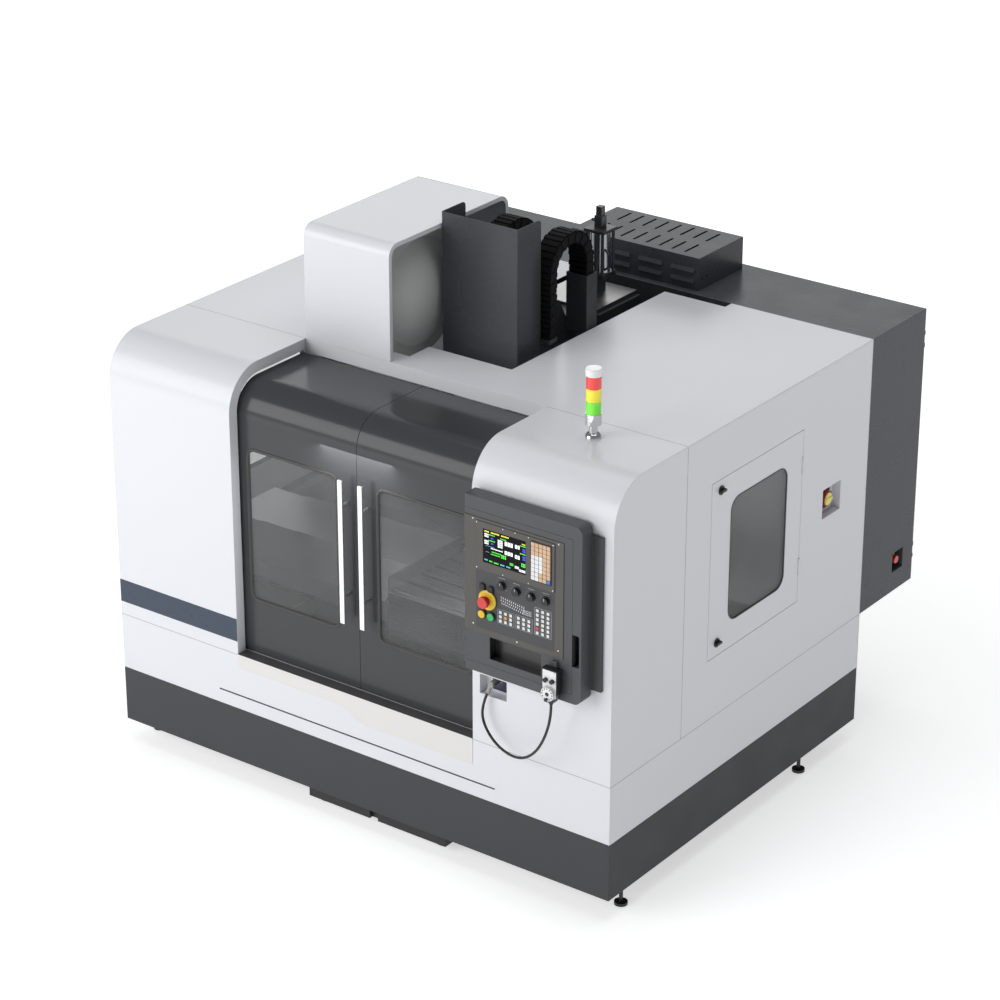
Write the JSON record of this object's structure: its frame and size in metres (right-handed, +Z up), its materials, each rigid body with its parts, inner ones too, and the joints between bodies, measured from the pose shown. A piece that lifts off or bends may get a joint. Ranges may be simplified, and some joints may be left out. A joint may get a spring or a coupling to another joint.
{
  "type": "cnc machining center",
  "caption": "Enclosed vertical machining center with sliding windowed doors, side-mounted operator panel, tool magazine and spindle head rising through the roof, moving table inside",
  "frame": {"origin": "middle of the footprint on the floor, latches and hand-wheel crank included", "axes": "+X to the operator's right, +Y to the back, +Z up"},
  "size_m": [2.768, 2.6714, 2.618],
  "materials": {
    "white_paint": "semi-gloss powder coat, cool white",
    "dark_paint": "semi-gloss powder coat, dark grey",
    "liner_sheet": "bare bent sheet",
    "casting_paint": "cast iron under grey machine paint",
    "ground_steel": "ground steel",
    "cover_steel": "bent steel sheet",
    "carousel_grey": "satin grey",
    "window_glass": "clear laminated pane",
    "black_plastic": "black moulded plastic",
    "cable_rubber": "black jacket",
    "plate_brown": "fine textured brown grey",
    "key_beige": "moulded key caps",
    "red_plastic": "red moulded plastic",
    "green_plastic": "green moulded plastic",
    "yellow_plastic": "yellow moulded plastic",
    "unit_plastic": "grey moulded plastic",
    "latch_chrome": "bright plating",
    "lens_plastic": "clear coloured lenses",
    "motor_black": "black paint",
    "cabinet_grey": "device housings"
  },
  "bodies": {
    "enclosure": {"base_skirt": "dark_paint", "booster_cylinder": "motor_black", "cabinet_equipment": "cabinet_grey", "cable_chain": "black_plastic", "cable_plug": "black_plastic", "coolant_tank": "dark_paint", "door_sill": "dark_paint", "electrical_cabinet": "dark_paint", "handwheel_cable": "cable_rubber", "left_front_cover": "white_paint", "left_side_panel": "white_paint", "left_side_window": "window_glass", "levelling_feet": "ground_steel", "lower_body_band": "white_paint", "machine_bed": "casting_paint", "machine_column": "casting_paint", "magazine_cover": "white_paint", "panel_housing": "dark_paint", "right_front_cover": "white_paint", "right_side_panel": "white_paint", "roof_panel": "white_paint", "stack_light_base": "latch_chrome", "stack_light_lenses": "lens_plastic", "vent_box": "dark_paint", "work_area_liner": "liner_sheet"},
    "left_door": {"left_door": "white_paint", "left_door_window": "window_glass", "left_door_handle": "white_paint"},
    "right_door": {"right_door": "white_paint", "right_door_window": "window_glass", "right_door_handle": "white_paint"},
    "access_door": {"access_door": "white_paint", "access_door_window": "window_glass"},
    "upper_latch": {"upper_latch": "latch_chrome"},
    "lower_latch": {"lower_latch": "latch_chrome"},
    "cabinet_door": {"cabinet_door": "dark_paint"},
    "main_switch": {"main_switch_knob": "red_plastic"},
    "cabinet_estop": {"cabinet_estop_button": "red_plastic"},
    "head": {"spindle_head": "casting_paint", "head_cover": "dark_paint", "spindle_motor": "motor_black"},
    "spindle": {"spindle": "ground_steel"},
    "saddle": {"saddle": "casting_paint", "table_way_covers": "cover_steel"},
    "table": {"work_table": "ground_steel"},
    "carousel": {"tool_carousel": "carousel_grey"},
    "panel_door": {"panel_door": "dark_paint", "instrument_plate": "plate_brown", "panel_keys": "key_beige", "handwheel_body": "unit_plastic"},
    "mode_knob": {"mode_knob": "black_plastic"},
    "rapid_knob": {"rapid_knob": "black_plastic"},
    "feed_knob": {"feed_knob": "black_plastic"},
    "speed_knob": {"speed_knob": "black_plastic"},
    "panel_estop": {"panel_estop_button": "red_plastic"},
    "feed_hold": {"feed_hold_button": "yellow_plastic"},
    "cycle_start": {"cycle_start_button": "green_plastic"},
    "handwheel_dial": {"handwheel_dial": "black_plastic"},
    "axis_selector": {"axis_selector_knob": "black_plastic"},
    "step_selector": {"step_selector_knob": "black_plastic"}
  },
  "joints": [
    {"name": "left_door_slide", "type": "slide", "parent": "enclosure", "child": "left_door", "axis": [-1, 0, 0], "range_m": [0, 0.58]},
    {"name": "right_door_slide", "type": "slide", "parent": "enclosure", "child": "right_door", "axis": [1, 0, 0], "range_m": [0, 0.58]},
    {"name": "access_door_hinge", "type": "hinge", "parent": "enclosure", "child": "access_door", "pos_m": [1.366, 0.2803, 1.368], "axis": [0, 0, 1], "range_deg": [0, 110]},
    {"name": "upper_latch_turn", "type": "hinge", "parent": "access_door", "child": "upper_latch", "pos_m": [1.366, -0.3797, 1.734], "axis": [1, 0, 0], "range_deg": [0, 90]},
    {"name": "lower_latch_turn", "type": "hinge", "parent": "access_door", "child": "lower_latch", "pos_m": [1.366, -0.3797, 1.015], "axis": [1, 0, 0], "range_deg": [0, 90]},
    {"name": "cabinet_door_hinge", "type": "hinge", "parent": "enclosure", "child": "cabinet_door", "pos_m": [1.351, 1.3307, 1.342], "axis": [0, 0, 1], "range_deg": [-110, 0]},
    {"name": "main_switch_turn", "type": "hinge", "parent": "enclosure", "child": "main_switch", "pos_m": [1.336, 0.5438, 1.353], "axis": [1, 0, 0], "range_deg": [0, 90]},
    {"name": "cabinet_estop_press", "type": "slide", "parent": "enclosure", "child": "cabinet_estop", "axis": [-1, 0, 0], "range_m": [0, 0.004]},
    {"name": "head_slide", "type": "slide", "parent": "enclosure", "child": "head", "axis": [0, 0, 1], "range_m": [-0.6, 0], "deforming": ["cable_chain"]},
    {"name": "spindle_spin", "type": "hinge", "parent": "head", "child": "spindle", "pos_m": [0.016, -0.1877, 1.81], "axis": [0, 0, 1], "continuous": true},
    {"name": "saddle_slide", "type": "slide", "parent": "enclosure", "child": "saddle", "axis": [0, 1, 0], "range_m": [0, 0.55]},
    {"name": "table_slide", "type": "slide", "parent": "saddle", "child": "table", "axis": [1, 0, 0], "range_m": [-0.97, 0.08], "deforming": ["table_way_covers"]},
    {"name": "carousel_spin", "type": "hinge", "parent": "enclosure", "child": "carousel", "pos_m": [-0.484, -0.2777, 2.22], "axis": [1, 0, 0], "continuous": true},
    {"name": "panel_door_hinge", "type": "hinge", "parent": "enclosure", "child": "panel_door", "pos_m": [0.679, -1.2037, 1.445], "axis": [0, 0, 1], "range_deg": [-100, 0], "deforming": ["handwheel_cable"]},
    {"name": "mode_knob_turn", "type": "hinge", "parent": "panel_door", "child": "mode_knob", "pos_m": [0.872, -1.2627, 1.49], "axis": [0, 1, 0], "range_deg": [-120, 120]},
    {"name": "rapid_knob_turn", "type": "hinge", "parent": "panel_door", "child": "rapid_knob", "pos_m": [0.947, -1.2627, 1.485], "axis": [0, 1, 0], "range_deg": [-120, 120]},
    {"name": "feed_knob_turn", "type": "hinge", "parent": "panel_door", "child": "feed_knob", "pos_m": [1.021, -1.2627, 1.483], "axis": [0, 1, 0], "range_deg": [-120, 120]},
    {"name": "speed_knob_turn", "type": "hinge", "parent": "panel_door", "child": "speed_knob", "pos_m": [1.095, -1.2627, 1.485], "axis": [0, 1, 0], "range_deg": [-120, 120]},
    {"name": "panel_estop_press", "type": "slide", "parent": "panel_door", "child": "panel_estop", "axis": [0, 1, 0], "range_m": [0, 0.004]},
    {"name": "feed_hold_press", "type": "slide", "parent": "panel_door", "child": "feed_hold", "axis": [0, 1, 0], "range_m": [0, 0.004], "stiffness_N_per_m": 400},
    {"name": "cycle_start_press", "type": "slide", "parent": "panel_door", "child": "cycle_start", "axis": [0, 1, 0], "range_m": [0, 0.004], "stiffness_N_per_m": 400},
    {"name": "handwheel_spin", "type": "hinge", "parent": "panel_door", "child": "handwheel_dial", "pos_m": [1.145, -1.3057, 1.095], "axis": [0, 1, 0], "continuous": true},
    {"name": "axis_selector_turn", "type": "hinge", "parent": "panel_door", "child": "axis_selector", "pos_m": [1.129, -1.3057, 1.153], "axis": [0, 1, 0], "range_deg": [-90, 90]},
    {"name": "step_selector_turn", "type": "hinge", "parent": "panel_door", "child": "step_selector", "pos_m": [1.162, -1.3057, 1.153], "axis": [0, 1, 0], "range_deg": [-60, 60]}
  ]
}
